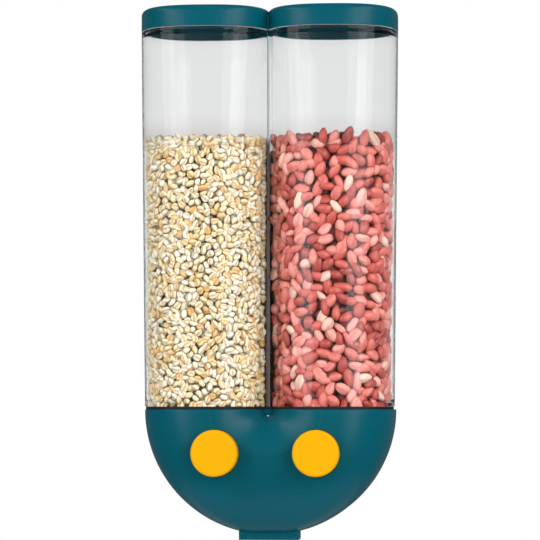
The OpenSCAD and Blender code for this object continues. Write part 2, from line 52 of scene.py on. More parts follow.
WIDTH, DEPTH, PLAN_POWER, OVERLAP, CREASE_R = 180.0, 92.0, 2.5, 1.4, 1.0
LOBE_A = (WIDTH + 2 * OVERLAP) / 4
LOBE_CX = WIDTH / 2 - LOBE_A
LOBE_B = DEPTH / 2
LOBE_STEPS, ARC_STEPS = 44, 6

# Bins, seal line and lid.
DRAFT, BIN_WALL, PARTITION, NECK_WALL = 2.9, 1.2, 1.8, 1.6
SHOULDER, NECK_TOP = 263.9, 270.7
BIN_EDGE, NECK_STEP, WALL_STEP, PARTITION_IN = 0.5, 2, 5, 0.6
SEAL_T, SEAL_FACE, SEAL_EDGE, SEAL_ROUND = 1.8, 0.6, 0.9, 0.3
FIT, PLAY = 0.3, 0.2
LID_WALL, LID_ROUND, LID_TOP_T, LID_RING_T = 2.0, 4.0, 2.4, 1.1
SKIRT_Z, SKIRT_EDGE = SHOULDER + FIT, 0.3
LID_TOP = 279.0
LID_SEAT = NECK_TOP + LID_RING_T + PLAY
POCKET_ROOM, POCKET_TAPER, POCKET_RIB = 0.7, 2, 2.5

# Base: the radius of its lower rim, its reach to the front and back, and how finely it is cut.
BASE_R = WIDTH / 2 - DRAFT
BASE_FRONT = LOBE_B - DRAFT
BASE_BACK = LOBE_B - 1.5
BASE_WALL, DECK_T, FRONT_POWER, EDGE_R = 2.4, 10.3, 2.6, 0.8
REAR_CORNER, SCOOP_BLEND, SCOOP_RIM = 2.0, 0.5, 2
FIRST_DEPTH, FINE_DEPTH, FINE_STEP, LOW_LEVELS, HOLLOW_LEVELS = 0.6, 34, 0.75, 60, 34
LAST_LEVEL, MOST_SINE = math.radians(88), 0.9995
FLAT_STEPS, CURVE_STEPS, SIDE_STEPS, BEND_STEPS, REAR_STEPS = 97, 25, 9, 5, 11
SPIGOT_IN = DRAFT + BASE_WALL + FIT
SPIGOT_WALL = 1.8

# Buttons, outlet and springs.
BUTTON_X, BUTTON_Z, HOLE_R = 34.7, -30.0, 16.4
SLEEVE_WALL, SLEEVE_Y, CUT_Y, FLANGE_T = 1.8, -31.0, -60, 1.8
SLEEVE_R = HOLE_R + SLEEVE_WALL
SPOUT_W, SPOUT_D, SPOUT_Z, LEGS_BOTTOM = 41.4, 27.0, -90.5, -72.1
INNER_FACE_Y, SEAT_Y = -53.3, -20.0
COIL_R, WIRE_D, TURNS, TRAVEL = 8.0, 1.2, 7, 12.0
COIL_GAP, CLOSED_PITCH = 0.1, 1.05

# Food: the fill's height and foot, and the seeds' sizes along, across and through, with how much
# they vary, tilt and stand back from the wall.
FILL_Z, FILL_FOOT = 188.0, 2.6
GRAIN = {"size": (6.0, 4.8, 4.0), "vary": 0.1, "tilt": 0.3, "spread": 1.4}
NUT = {"size": (12.4, 7.4, 6.6), "vary": 0.12, "tilt": 0.22, "spread": 2.4}
SIZE_LIMITS, SEED_ROOM, SEED_SPIN, SEED_TAPER, BEND_LIFT = (0.72, 1.32), 0.12, 0.8, 0.16, 0.35
WALL_CURVE_R, NEAR = 25, 1.5
HEART_FOOT, HEART_EDGE = 1.5, 1.2
RANDOM_SEED, DARTS = 41, 26

# Degrees past which an edge stays sharp.
SHARP, LID_SHARP, BIN_SHARP, SEED_SHARP = 32, 40, 30, 180

# Studio, in metres and degrees, but the sensor and lens in millimetres.
CAMERA_TURN, CAMERA_AWAY, CAMERA_Z, AIM_Z = 4, 2.032, 0.042, 0.1394
SENSOR, LENS = 36, 193.7
LAMP_AWAY, LAMP_HEIGHT, LAMP_Z, LAMP_TILT = 1.6, 2.2, 0.75, 0.35
LAMP_AIM_Y, LAMP_AIM_Z = -0.05, 0.14
FLOOR_R, FLOOR_Z = 0.5, -0.35


# ---------------------------------------------------------------- plan of the bins
def lobe_point(q):
    """Points of the right bin's curve whose outward normals stand at angles q, and the normals."""
    c, s = np.cos(q), np.sin(q)
    e = 1 / (PLAN_POWER - 1)
    k = ((LOBE_A * abs(c)) ** (e + 1) + (LOBE_B * abs(s)) ** (e + 1)) ** (1 / PLAN_POWER)
    x = LOBE_CX + np.sign(c) * LOBE_A * (LOBE_A * abs(c)) ** e / k
    y = np.sign(s) * LOBE_B * (LOBE_B * abs(s)) ** e / k
    return np.stack([x, y], -1), np.stack([c, s], -1)


def crease_angle():
    """Angle of the normal where the bin's curve runs into the arc of the crease."""
    low, high = math.pi / 2, math.pi
    for _ in range(50):
        mid = (low + high) / 2
        point, normal = lobe_point(np.array(mid))
        if point[0] + CREASE_R * normal[0] > 0:
            low = mid
        else:
            high = mid
    return low


Q_END = crease_angle()
CREASE_Y = lobe_point(np.array(Q_END))[0][1] + CREASE_R * math.sin(Q_END)


def arc_points(q):
    """Points and normals of the crease's arc, whose normals stand at angles q."""
    normal = np.stack([np.cos(q), np.sin(q)], -1)
    return np.array([0, CREASE_Y]) - CREASE_R * normal, normal


def right_run(q_stop=math.pi / 2):
    """The right bin's curve from its outer end to the crease, then along the crease's arc."""
    p, n = lobe_point(np.linspace(0, Q_END, LOBE_STEPS + 1))
    ap, an = arc_points(np.linspace(Q_END, q_stop, ARC_STEPS + 1)[1:])
    return np.concatenate([p, ap]), np.concatenate([n, an])


def outline(inset):
    """Outline of both bins, drawn in by inset."""
    p, n = right_run()
    run = p - inset * n
    half = np.concatenate([run, (run * [-1, 1])[-2::-1]])
    return np.concatenate([half, (half * [1, -1])[-2:0:-1]])


def cell(inset, edge):
    """One bin's inside, drawn in by inset and cut off along x = edge by the partition."""
    p, n = right_run(math.acos(-edge / (CREASE_R + inset)))
    run = p - inset * n
    return np.concatenate([(run * [1, -1])[:0:-1], run])


def lobe(inset, count=176):
    """The right bin's whole curve, drawn in by inset."""
    p, n = lobe_point(np.arange(count) * 2 * math.pi / count)
    return p - inset * n


def at_z(ring, z):
    """A flat ring as points in space at height z."""
    return np.column_stack([ring, np.full(len(ring), z)])


# ---------------------------------------------------------------- mesh helpers
def lofted(rings, closed=False):
    """Points and faces through rings of equally many points, capped unless the run is closed."""
    n, m = len(rings[0]), len(rings)
    faces = []
    for i in range(m if closed else m - 1):
        up = (i + 1) % m
        for j in range(n):
            k = (j + 1) % n
            faces.append((i * n + j, i * n + k, up * n + k, up * n + j))
    if not closed:
        faces.append(tuple(range(n - 1, -1, -1)))
        faces.append(tuple((m - 1) * n + j for j in range(n)))
    return np.concatenate(rings), faces


def mirrored(points, faces):
    """The same form on the other side of x = 0."""
    return points * [-1, 1, 1], [f[::-1] for f in faces]


def add_mesh(name, points, faces, sharp=SHARP):
    """A mesh object from points in the dispenser's frame, in millimetres."""
    mesh = bpy.data.meshes.new(name)
    placed = (np.asarray(points, float) + [0, -WALL_Y, DROP]) * MM
    mesh.from_pydata(placed.tolist(), [], faces)
    smooth(mesh, sharp)
    obj = bpy.data.objects.new(name, mesh)
    bpy.context.scene.collection.objects.link(obj)
    return obj


def smooth(mesh, sharp):
    """Smooth shading, with the edges sharper than an angle in degrees kept."""
    mesh.polygons.foreach_set("use_smooth", [True] * len(mesh.polygons))
    mesh.set_sharp_from_angle(angle=math.radians(sharp))
    mesh.update()


def combine(target, tool, operation, sharp=SHARP):
    """Changes target by a boolean with tool, which is used up."""
    step = target.modifiers.new("step", "BOOLEAN")
    step.operation, step.solver, step.object = operation, "EXACT", tool
    seen = target.evaluated_get(bpy.context.evaluated_depsgraph_get())
    mesh = bpy.data.meshes.new_from_object(seen)
    target.modifiers.clear()
    target.data = mesh
    smooth(mesh, sharp)
    bpy.data.objects.remove(tool)


def prism(name, ring, z0, z1):
    """Upright solid over a flat ring."""
    return add_mesh(name, *lofted([at_z(ring, z0), at_z(ring, z1)]))


def cuboid(name, x0, x1, y0, y1, z0, z1):
    ring = np.array([[x0, y0], [x1, y0], [x1, y1], [x0, y1]])
    return prism(name, ring, z0, z1)


def rod_y(name, x, z, r, y0, y1, count=128):
    """Round solid along the front-to-back axis."""
    t = np.arange(count) * 2 * math.pi / count
    ring = np.column_stack([x + r * np.sin(t), np.zeros(count), z + r * np.cos(t)])
    return add_mesh(name, *lofted([ring + [0, y0, 0], ring + [0, y1, 0]]))


def finish_piece(obj, body, material, slot, *nodes):
    """Puts a new piece on its body and in place of its CAD nodes."""
    obj.data.materials.clear()
    obj.data.materials.append(material)
    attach(obj, body)
    if nodes:
        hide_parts(*nodes)


# ---------------------------------------------------------------- materials
class Nodes:
    """Node tree of a new material or world, with short calls to add and link nodes."""

    def __init__(self, name, kind="Material"):
        owners = bpy.data.materials if kind == "Material" else bpy.data.worlds
        self.owner = owners.new(name)
        self.owner.use_nodes = True
        self.tree = self.owner.node_tree
        self.tree.nodes.clear()
        self.out = self.add("Output" + kind)

    def link(self, source, socket):
        self.tree.links.new(source, socket)

    def add(self, kind, **values):
        """Adds a node; values name its inputs (with _ for a space) or its own settings."""
        node = self.tree.nodes.new("ShaderNode" + kind)
        for key, value in values.items():
            title = key.replace("_", " ")
            if title in node.inputs:
                self.put(node, title, value)
            else:
                setattr(node, key, value)
        return node

    def put(self, node, title, value):
        """Links a socket to a node's input, or sets a value on it; title may be its number."""
        if isinstance(value, bpy.types.NodeSocket):
            self.link(value, node.inputs[title])
        else:
            node.inputs[title].default_value = value

    def coords(self, stretch=(1, 1, 1)):
        """Object coordinates in metres, which here are row-frame coordinates."""
        place = self.add("TexCoord").outputs["Object"]
        if stretch == (1, 1, 1):
            return place
        return self.add("Mapping", Vector=place, Scale=stretch).outputs["Vector"]

    def noise(self, scale, detail=3.0, stretch=(1, 1, 1), roughness=0.5):
        """Noise in space, with scale in waves per metre."""
        node = self.add("TexNoise", Scale=scale, Detail=detail, Roughness=roughness,
                        Vector=self.coords(stretch))
        return node.outputs["Fac"]

    def split(self, vector):
        """The three numbers of a vector, as outputs X, Y and Z."""
        return self.add("SeparateXYZ", Vector=vector).outputs

    def ramp(self, factor, stops):
        """Colours by factor, from stops of place and colour."""
        node = self.add("ValToRGB", Fac=factor)
        elements = node.color_ramp.elements
        while len(elements) < len(stops):
            elements.new(0.5)
        for element, (place, colour) in zip(elements, stops):
            element.position = place
            element.color = (*colour, 1)
        return node.outputs["Color"]

    def span(self, value, low, high, to_low, to_high):
        """The value moved from one range to another, and kept within it."""
        node = self.add("MapRange", clamp=True, Value=value, From_Min=low, From_Max=high,
                        To_Min=to_low, To_Max=to_high)
        return node.outputs["Result"]

    def math(self, operation, a, b=0.0):
        node = self.add("Math", operation=operation)
        self.put(node, 0, a)
        self.put(node, 1, b)
        return node.outputs["Value"]

    def absolute(self, value):
        return self.math("ABSOLUTE", value)

    def times(self, a, b, factor=1.0):
        """Colour a multiplied by colour b, as far as factor says."""
        return self.mixed(factor, a, b, "MULTIPLY")

    def mixed(self, factor, a, b, blend_type="MIX"):
        """Colours a and b mixed by factor."""
        node = self.add("MixRGB", blend_type=blend_type)
        for number, value in enumerate((factor, a, b)):
            self.put(node, number, value)
        return node.outputs[0]

    def bump(self, height, distance, strength=1.0, normal=None):
        """Normal bent by a height, over distance in metres, on top of another normal if given."""
        node = self.add("Bump", Height=height, Distance=distance, Strength=strength)
        if normal is not None:
            self.put(node, "Normal", normal)
        return node.outputs["Normal"]

    def surface(self, shader):
        """Ends the tree with a shader, and returns the material or world."""
        self.link(shader.outputs[0], self.out.inputs["Surface"])
        return self.owner


def shade(colour, factor):
    """A colour made lighter or darker by a factor."""
    return tuple(min(1.0, c * factor) for c in colour)


def moulded(name, colour, roughness, specular, vary=0.06, grain=0.00003):
    """Injection-moulded plastic: faint flow marks in the colour, a fine skin and light rubs."""
    n = Nodes(name)
    flow = n.noise(14, 4, (1, 1, 0.35))
    base = n.ramp(flow, [(0.32, shade(colour, 1 - vary)), (0.68, shade(colour, 1 + vary))])
    rubs = n.noise(160, 5, (1, 1, 4), 0.7)
    rough = n.span(rubs, 0.3, 0.75, roughness * 0.88, roughness * 1.18)
    skin = n.bump(n.noise(900, 2), grain, 0.5)
    wave = n.bump(n.noise(22, 2), 0.0004, 0.15, skin)
    return n.surface(n.add("BsdfPrincipled", Base_Color=base, Roughness=rough, Normal=wave,
                           IOR=1.47, Specular_IOR_Level=specular))


def clear_plastic(name):
    """Clear thin-walled plastic: glossy skin, little bending of what stands behind it, slight grey
    in its depth, faint waves and rubs, a band of painted shade on the wall around the top of the
    fill and a dark line of painted shade where the partition stands between the two fills. Lamps
    shine through."""
    n = Nodes(name)
    rough = n.span(n.noise(120, 4, (1, 1, 0.3), 0.7), 0.35, 0.8, 0.03, 0.09)
    wave = n.bump(n.noise(18, 2, (1, 1, 0.25)), 0.0005, 0.25)
    place = n.split(n.coords())
    height = n.math("SUBTRACT", place["Z"], (FILL_Z + DROP + 1) * MM)
    # Painted shade: the wall is darkened in a band around the fill's top, with a noisy edge.
    shade_edge_noise = n.math("MULTIPLY", n.noise(40, 4, (1, 1, 0.4)), 0.006)
    fill_shade_mask = n.span(n.math("ADD", n.absolute(height), shade_edge_noise), 0.002, 0.017, 0, 1)
    painted_fill_shade = n.ramp(fill_shade_mask, [(0.0, (0.885, 0.88, 0.87)), (1.0, (1, 1, 1))])
    tint = n.ramp(n.span(height, -0.010, -0.001, 0, 1),
                  [(0.0, (0.98, 0.98, 0.97)), (1.0, (0.90, 0.90, 0.90))])
    # Painted shade: a dark line on the wall where the partition stands between the two fills,
    # below the fill's top.
    beside = n.span(n.absolute(place["X"]), 0.0009, 0.0017, 0, 1)
    above = n.span(height, -0.003, 0.0, 0, 1)
    line = n.ramp(n.math("MAXIMUM", beside, above),
                  [(0.0, (0.22, 0.16, 0.14)), (1.0, (1, 1, 1))])
    seen = n.times(n.times(tint, painted_fill_shade), line)
    gloss = n.add("BsdfPrincipled", Base_Color=seen, Roughness=0.0, Normal=wave, IOR=1.03,
                  Transmission_Weight=1.0, Coat_Weight=1.0, Coat_IOR=1.26, Coat_Roughness=rough,
                  Coat_Normal=wave)
    lamps_through = n.add("BsdfTransparent", Color=(0.95, 0.955, 0.955, 1))
    mix = n.add("MixShader")
    n.put(mix, 0, n.add("LightPath").outputs["Is Shadow Ray"])
    n.put(mix, 1, gloss.outputs["BSDF"])
    n.put(mix, 2, lamps_through.outputs["BSDF"])
    depth = n.add("VolumeAbsorption", Color=(0.80, 0.83, 0.84, 1), Density=90.0)
    n.link(depth.outputs["Volume"], n.out.inputs["Volume"])
    return n.surface(mix)


def rubber(name, colour, roughness=0.6):
    """Dull dark rubber with a fine skin; the same dull dark surface serves as painted shade in the
    fill's heart.
    """
    n = Nodes(name)
    base = n.ramp(n.noise(60, 5), [(0.3, shade(colour, 0.8)), (0.7, shade(colour, 1.2))])
    rough = n.span(n.noise(300, 3), 0.3, 0.7, roughness * 0.85, roughness * 1.1)
    normal = n.bump(n.noise(1200, 2), 0.00005, 0.6)
    return n.surface(n.add("BsdfPrincipled", Base_Color=base, Roughness=rough, Normal=normal,
                           Specular_IOR_Level=0.35))


def steel(name):
    """Bright drawn steel with fine lines and a slightly uneven sheen."""
    n = Nodes(name)
    lines = n.noise(700, 3, (1, 0.15, 1))
    base = n.ramp(lines, [(0.3, (0.42, 0.43, 0.44)), (0.7, (0.66, 0.67, 0.68))])
    rough = n.span(n.noise(200, 4), 0.3, 0.7, 0.22, 0.4)
    return n.surface(n.add("BsdfPrincipled", Base_Color=base, Roughness=rough, Metallic=1.0,
                           Normal=n.bump(lines, 0.00004, 0.6)))


def grain_skin(name, stops, groove, tip, roughness, specular, bump_scale, streak, reach):
    """Skin of seeds: each has its own tint, a groove line along it and tips of another shade.
    Streak is the line's strength, and reach is how near another seed must come for the skin to be
    darkened with painted shade."""
    n = Nodes(name)
    tint = n.ramp(n.add("NewGeometry").outputs["Random Per Island"], stops)
    uv = n.split(n.add("TexCoord").outputs["UV"])
    from_middle = n.absolute(n.math("SUBTRACT", uv["X"], 0.5))
    from_groove = n.absolute(n.math("SUBTRACT", uv["Y"], 0.5))
    wander = n.math("MULTIPLY", n.noise(900, 3), 0.05)
    line = n.span(n.math("ADD", from_groove, wander), 0.035, 0.11, 1, 0)
    body = n.span(from_middle, 0.28, 0.46, 1, 0)
    strength = n.math("MULTIPLY", n.math("MULTIPLY", line, body), streak)
    lined = n.mixed(strength, tint, (*groove, 1))
    ends = n.ramp(n.span(from_middle, 0.26, 0.47, 0, 1), [(0.0, (1, 1, 1)), (1.0, tip)])
    mottle = n.ramp(n.noise(520, 4, (1, 1, 1), 0.65),
                    [(0.3, (0.80, 0.72, 0.62)), (0.6, (1.0, 1.0, 1.0))])
    fine = n.times(n.times(lined, ends), mottle, 0.5)
    # Painted shade: the skin is darkened in the hollows where other seeds of the same mesh come
    # near.
    hollow = n.add("AmbientOcclusion", Distance=reach, samples=4, only_local=True)
    painted_hollow_shade = n.ramp(hollow.outputs["AO"], [(0.3, shade(groove, 0.6)), (0.78, (1, 1, 1))])
    normal = n.bump(n.noise(bump_scale, 3), 0.00025, 0.5)
    return n.surface(n.add("BsdfPrincipled", Base_Color=n.times(fine, painted_hollow_shade), Normal=normal,
                           Roughness=roughness, Specular_IOR_Level=specular))


TEAL = (0.0, 0.109, 0.153)
YELLOW = (1.0, 0.49, 0.0)
DARK = (0.012, 0.014, 0.017)
BLACK = (0.03, 0.033, 0.037)
WHITE = (0.72, 0.71, 0.66)

teal = moulded("teal_plastic", TEAL, roughness=0.29, specular=0.2)
yellow = moulded("yellow_plastic", YELLOW, roughness=0.36, specular=0.12, vary=0.03)
inner = moulded("inner_plastic", WHITE, roughness=0.5, specular=0.4, grain=0.00006)
dark = moulded("dark_plastic", BLACK, roughness=0.5, specular=0.4, grain=0.0001)
clear = clear_plastic("clear_plastic")
seal = rubber("dark_rubber", DARK)
bright = steel("steel")


# ---------------------------------------------------------------- lid
def lid_cap():
    """Solid lid over the right bin, with its top edge rounded."""
    rings = [at_z(lobe(SKIRT_EDGE), SKIRT_Z), at_z(lobe(0), SKIRT_Z + SKIRT_EDGE)]
    for a in np.radians(np.arange(0, 91, 9)):
        rings.append(at_z(lobe(LID_ROUND * (1 - math.cos(a))),
                          LID_TOP - LID_ROUND * (1 - math.sin(a))))
    return lofted(rings)


def make_lid():
    """Two caps joined by a web at the crease, hollowed, with a pocket over each neck."""
    cap = lid_cap()
    skin = add_mesh("lid_skin", *cap, LID_SHARP)
    combine(skin, add_mesh("cap", *mirrored(*cap)), "UNION", LID_SHARP)
    q = np.linspace(Q_END, math.pi / 2, ARC_STEPS + 1)
    right, _ = arc_points(q)
    front = np.concatenate([right, (right * [-1, 1])[-2::-1]])
    web = np.concatenate([front, (front * [1, -1])[::-1]])
    combine(skin, prism("web", web, SKIRT_Z, LID_TOP - LID_ROUND), "UNION", LID_SHARP)
    hollow = prism("hollow", outline(LID_WALL), SKIRT_Z - 1, LID_SEAT)
    combine(skin, hollow, "DIFFERENCE", LID_SHARP)
    pocket_in = LID_WALL + FIT + NECK_WALL + POCKET_ROOM
    mouth, top = cell(pocket_in, POCKET_RIB), cell(pocket_in + POCKET_TAPER, POCKET_RIB + 1)
    pocket = lofted([at_z(mouth, LID_SEAT - 1), at_z(mouth, LID_SEAT + 1),
                     at_z(top, LID_TOP - LID_TOP_T)])
    for form in (pocket, mirrored(*pocket)):
        combine(skin, add_mesh("pocket", *form), "DIFFERENCE", LID_SHARP)
    finish_piece(skin, "lid", teal, "teal_plastic", "lid")


# ---------------------------------------------------------------- clear bins
def make_bins():
    """Twin bin from its foot in the base up to its neck, with the partition."""
    neck_out = LID_WALL + FIT
    neck_in = neck_out + NECK_WALL
    foot_in = SPIGOT_IN + SPIGOT_WALL
    cut, foot_z = BIN_EDGE * 0.3, -DECK_T + FIT
    profile = [
        (SPIGOT_IN, foot_z), (SPIGOT_IN, SEAL_T), (DRAFT + BIN_EDGE, SEAL_T),
        (DRAFT, SEAL_T + BIN_EDGE), (0, SHOULDER - BIN_EDGE), (cut, SHOULDER - cut),
        (BIN_EDGE, SHOULDER), (neck_out, SHOULDER), (neck_out, NECK_TOP), (neck_in, NECK_TOP),
        (neck_in, SHOULDER - NECK_STEP), (BIN_WALL, SHOULDER - WALL_STEP),
        (DRAFT + BIN_WALL, SEAL_T + WALL_STEP), (foot_in, SEAL_T), (foot_in, foot_z),
    ]
    rings = [at_z(outline(inset), z) for inset, z in profile]
    bins = add_mesh("clear_bins", *lofted(rings, closed=True), BIN_SHARP)
    rings = []
    for inset, z in ((SPIGOT_IN, -PLAY), (SPIGOT_IN, SEAL_T), (DRAFT, SEAL_T + WALL_STEP),
                     (0, SHOULDER - WALL_STEP), (neck_out, SHOULDER - NECK_STEP),
                     (neck_out, NECK_TOP)):
        t, y = PARTITION / 2, CREASE_Y - CREASE_R - inset - PARTITION_IN
        rings.append(at_z(np.array([[-t, -y], [t, -y], [t, y], [-t, y]]), z))
    combine(bins, add_mesh("partition", *lofted(rings)), "UNION", BIN_SHARP)
    finish_piece(bins, "dispenser", clear, "clear_plastic", "container")


def make_seal():
    """Rubber line between the bins and the base."""
    edge, face = outline(DRAFT + SEAL_EDGE), outline(DRAFT + SEAL_FACE)
    inside = outline(SPIGOT_IN - FIT)
    rings = [at_z(edge, 0), at_z(face, SEAL_ROUND), at_z(face, SEAL_T - SEAL_ROUND),
             at_z(edge, SEAL_T), at_z(inside, SEAL_T), at_z(inside, 0)]
    line = add_mesh("seal_line", *lofted(rings, closed=True))
    finish_piece(line, "dispenser", seal, "dark_rubber", "container_seal")


# ---------------------------------------------------------------- base
def scoop_depth(inset):
    """Depth of the turned hollow, front to back, over the distance from its axis: the bins' own
    curve turned about the middle of their lower edge."""
    p, n = right_run()
    p = p - inset * n
    p = p[(p[:, 0] >= 0) & (p[:, 0] < LOBE_CX - SCOOP_RIM)]
    order = np.argsort(p[:, 0])
    return p[order, 0], p[order, 1]


def softer_max(a, b, k):
    """The larger of a and b, with the step between them rounded over k."""
    h = np.clip(k - abs(a - b), 0, None) / k
    return np.maximum(a, b) + h * h * k / 4


def base_ring(r, b, back, z, table):
    """Level section of the base at height z, from front left round to back left. r is the radius
    of its rim, b and back its reach to the front and back, and table the scoop's depth."""
    sin_a = min(-z / r, MOST_SINE)
    cos_a = math.sqrt(1 - sin_a**2)
    g = (1 - sin_a**FRONT_POWER) ** (1 / FRONT_POWER)
    w = r * cos_a
    scale = w / (LOBE_CX + LOBE_A)
    flat = np.linspace(-1, 1, FLAT_STEPS)
    curve, _ = lobe_point(np.radians(np.linspace(-90, 0, CURVE_STEPS))[1:])
    middle = np.column_stack([flat * LOBE_CX * scale, np.full(FLAT_STEPS, -b * g)])
    right = np.column_stack([curve[:, 0] * scale, curve[:, 1] * b / LOBE_B * g])
    front = np.concatenate([(right * [-1, 1])[::-1], middle, right])
    xs, ys = table
    rho = np.hypot(front[:, 0], z)
    hollow = np.interp(rho, xs, -ys)
    deeper = softer_max(front[:, 1], hollow, SCOOP_BLEND)
    front[:, 1] = np.where(rho < xs[-1], deeper, front[:, 1])
    corner = min(REAR_CORNER, w / 2)
    side = np.column_stack([np.full(SIDE_STEPS, w),
                            np.linspace(0, back - corner, SIDE_STEPS + 1)[1:]])
    t = np.radians(np.linspace(0, 90, BEND_STEPS + 1))[1:]
    bend = np.column_stack([w - corner * (1 - np.cos(t)), back - corner * (1 - np.sin(t))])
    rear = np.column_stack([np.linspace(w - corner, -(w - corner), REAR_STEPS + 2)[1:-1],
                            np.full(REAR_STEPS, back)])
    walls = np.concatenate([side, bend])
    return np.concatenate([front, walls, rear, (walls * [-1, 1])[::-1]])


def drawn_in(ring, d):
    """A closed ring moved in along its own normals by d."""
    step = np.roll(ring, -1, 0) - np.roll(ring, 1, 0)
    normal = np.column_stack([step[:, 1], -step[:, 0]])
    return ring - d * normal / np.linalg.norm(normal, axis=1, keepdims=True)


def base_outside():
    """The base's outer form, from its lowest level up to its rounded top edge."""
    table = scoop_depth(DRAFT)
    levels = list(np.arange(EDGE_R + FIRST_DEPTH, FINE_DEPTH, FINE_STEP))
    first = math.asin(FINE_DEPTH / BASE_R)
    levels += list(BASE_R * np.sin(np.linspace(first, LAST_LEVEL, LOW_LEVELS)))
    rings = [at_z(base_ring(BASE_R, BASE_FRONT, BASE_BACK, -z, table), -z)
             for z in levels[::-1]]
    for a in np.radians([0, 18, 36, 54, 72, 90]):
        z = -EDGE_R * (1 - math.sin(a))
        ring = base_ring(BASE_R, BASE_FRONT, BASE_BACK, z, table)
        rings.append(at_z(drawn_in(ring, EDGE_R * (1 - math.cos(a))), z))
    return lofted(rings)


def base_hollow():
    """The room inside the base's wall and under its deck, open to the back."""
    r = BASE_R - BASE_WALL
    front = BASE_FRONT - BASE_WALL
    table = scoop_depth(DRAFT + BASE_WALL)
    levels = r * np.sin(np.linspace(math.asin(DECK_T / r), LAST_LEVEL, HOLLOW_LEVELS))
    return lofted([at_z(base_ring(r, front, BASE_BACK + 1, -z, table), -z)
                   for z in levels[::-1]])


def make_base():
    """Hollowed shell with a sleeve and a hole for each button, the bins' socket and the slot."""
    skin = add_mesh("base_skin", *base_outside())
    hollow = add_mesh("hollow", *base_hollow())
    room_z = -DECK_T - FLANGE_T - FIT
    for side in (1, -1):
        sleeve = rod_y("sleeve", side * BUTTON_X, BUTTON_Z, SLEEVE_R, CUT_Y, SLEEVE_Y, 64)
        combine(sleeve, cuboid("room", -90, 90, CUT_Y - 1, 0, room_z, 0), "DIFFERENCE")
        combine(hollow, sleeve, "DIFFERENCE")
    combine(skin, hollow, "DIFFERENCE")
    combine(skin, prism("socket", outline(SPIGOT_IN - FIT), -DECK_T - 1, 1), "DIFFERENCE")
    for side in (1, -1):
        hole = rod_y("hole", side * BUTTON_X, BUTTON_Z, HOLE_R, CUT_Y, SLEEVE_Y + 1)
        combine(skin, hole, "DIFFERENCE")
    x, y = SPOUT_W / 2 + FIT, SPOUT_D / 2 + FIT
    combine(skin, cuboid("slot", -x, x, -y, y, SPOUT_Z, LEGS_BOTTOM), "DIFFERENCE")
    finish_piece(skin, "dispenser", teal, "teal_plastic", "base_shell")


# ---------------------------------------------------------------- springs
def make_spring(side):
    """Coil with closed ends, behind a button."""
    per_turn, sides, r = 28, 12, WIRE_D / 2
    length = SEAT_Y - INNER_FACE_Y - 2 * r - 2 * COIL_GAP
    closed = WIRE_D * CLOSED_PITCH
    pitch = (length - 2 * closed) / (TURNS - 2)
    rings = []
    for i in range(TURNS * per_turn + 1):
        u = i / per_turn
        along = (closed * u if u < 1 else length - closed * (TURNS - u) if u > TURNS - 1
                 else closed + pitch * (u - 1))
        t = 2 * math.pi * u
        s = np.arange(sides) * 2 * math.pi / sides
        d = COIL_R + r * np.cos(s)
        rings.append(np.column_stack([
            side * BUTTON_X + d * math.cos(t),
            INNER_FACE_Y + r + COIL_GAP + along + r * np.sin(s),
            BUTTON_Z + d * math.sin(t)]))
    name = "left" if side < 0 else "right"
    coil = add_mesh("coil_" + name, *lofted(rings))
    finish_piece(coil, "dispenser", bright, "steel", "spring_" + name)
    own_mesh(coil)


# ---------------------------------------------------------------- food in the bins
def spheroid(segments, rings, groove=0.0):
    """Unit seed along X with a groove on its +Z side, and a UV that runs along it and round it."""
    points, uv, faces = [(-1.0, 0.0, 0.0)], [(0.0, 0.5)], []
    for i in range(1, rings + 1):
        lat = -math.pi / 2 + math.pi * i / (rings + 1)
        for j in range(segments):
            t = 2 * math.pi * j / segments
            deep = groove * math.cos(lat) if 4 * j == segments else 0.0
            points.append((math.sin(lat), math.cos(lat) * math.cos(t),
                           math.cos(lat) * (math.sin(t) - deep)))
            uv.append((0.5 + lat / math.pi, (j / segments + 0.25) % 1.0))
    points.append((1.0, 0.0, 0.0))
    uv.append((1.0, 0.5))
    last = len(points) - 1
    for j in range(segments):
        k = (j + 1) % segments
        faces.append((0, 1 + k, 1 + j))
        for i in range(rings - 1):
            a, b = 1 + i * segments, 1 + (i + 1) * segments
            faces += [(a + j, a + k, b + k), (a + j, b + k, b + j)]
        a = 1 + (rings - 1) * segments
        faces.append((a + j, a + k, last))
    return np.array(points), np.array(uv), np.array(faces)


def scattered(rng, width, height, gap):
    """Points at least gap apart on a strip that closes on itself, by throwing darts."""
    size = gap / math.sqrt(2)
    columns = max(1, int(width / size))
    grid, points = {}, []
    tries = int(width * height / gap**2 * DARTS)
    throws = rng.random((tries, 2)) * [width, height]
    for s, z in throws:
        i, j = int(s / size), int(z / size)
        near = (grid.get(((i + a) % columns, j + b)) for a in (-2, -1, 0, 1, 2)
                for b in (-2, -1, 0, 1, 2))
        clash = False
        for other in near:
            if other is not None:
                d = abs(other[0] - s)
                d = min(d, width - d)
                if d * d + (other[1] - z) ** 2 < gap * gap:
                    clash = True
                    break
        if not clash:
            grid[(i % columns, j)] = (s, z)
            points.append((s, z))
    return np.array(points)


def turned(rng, count, normals, tangents, tilt):
    """Random seed axes: along, across and out of the wall, for each seed."""
    up = np.array([0.0, 0.0, 1.0])
    roll = rng.random(count) * math.pi
    along = tangents * np.cos(roll)[:, None] + up * np.sin(roll)[:, None]
    lean = rng.normal(0, tilt, count)
    along = along * np.cos(lean)[:, None] + normals * np.sin(lean)[:, None]
    spin = rng.normal(0, SEED_SPIN, count)
    side = np.cross(normals, along)
    side /= np.linalg.norm(side, axis=1, keepdims=True)
    out = np.cross(along, side)
    turn_side = side * np.cos(spin)[:, None] + out * np.sin(spin)[:, None]
    turn_out = np.cross(along, turn_side)
    return along, turn_side, turn_out


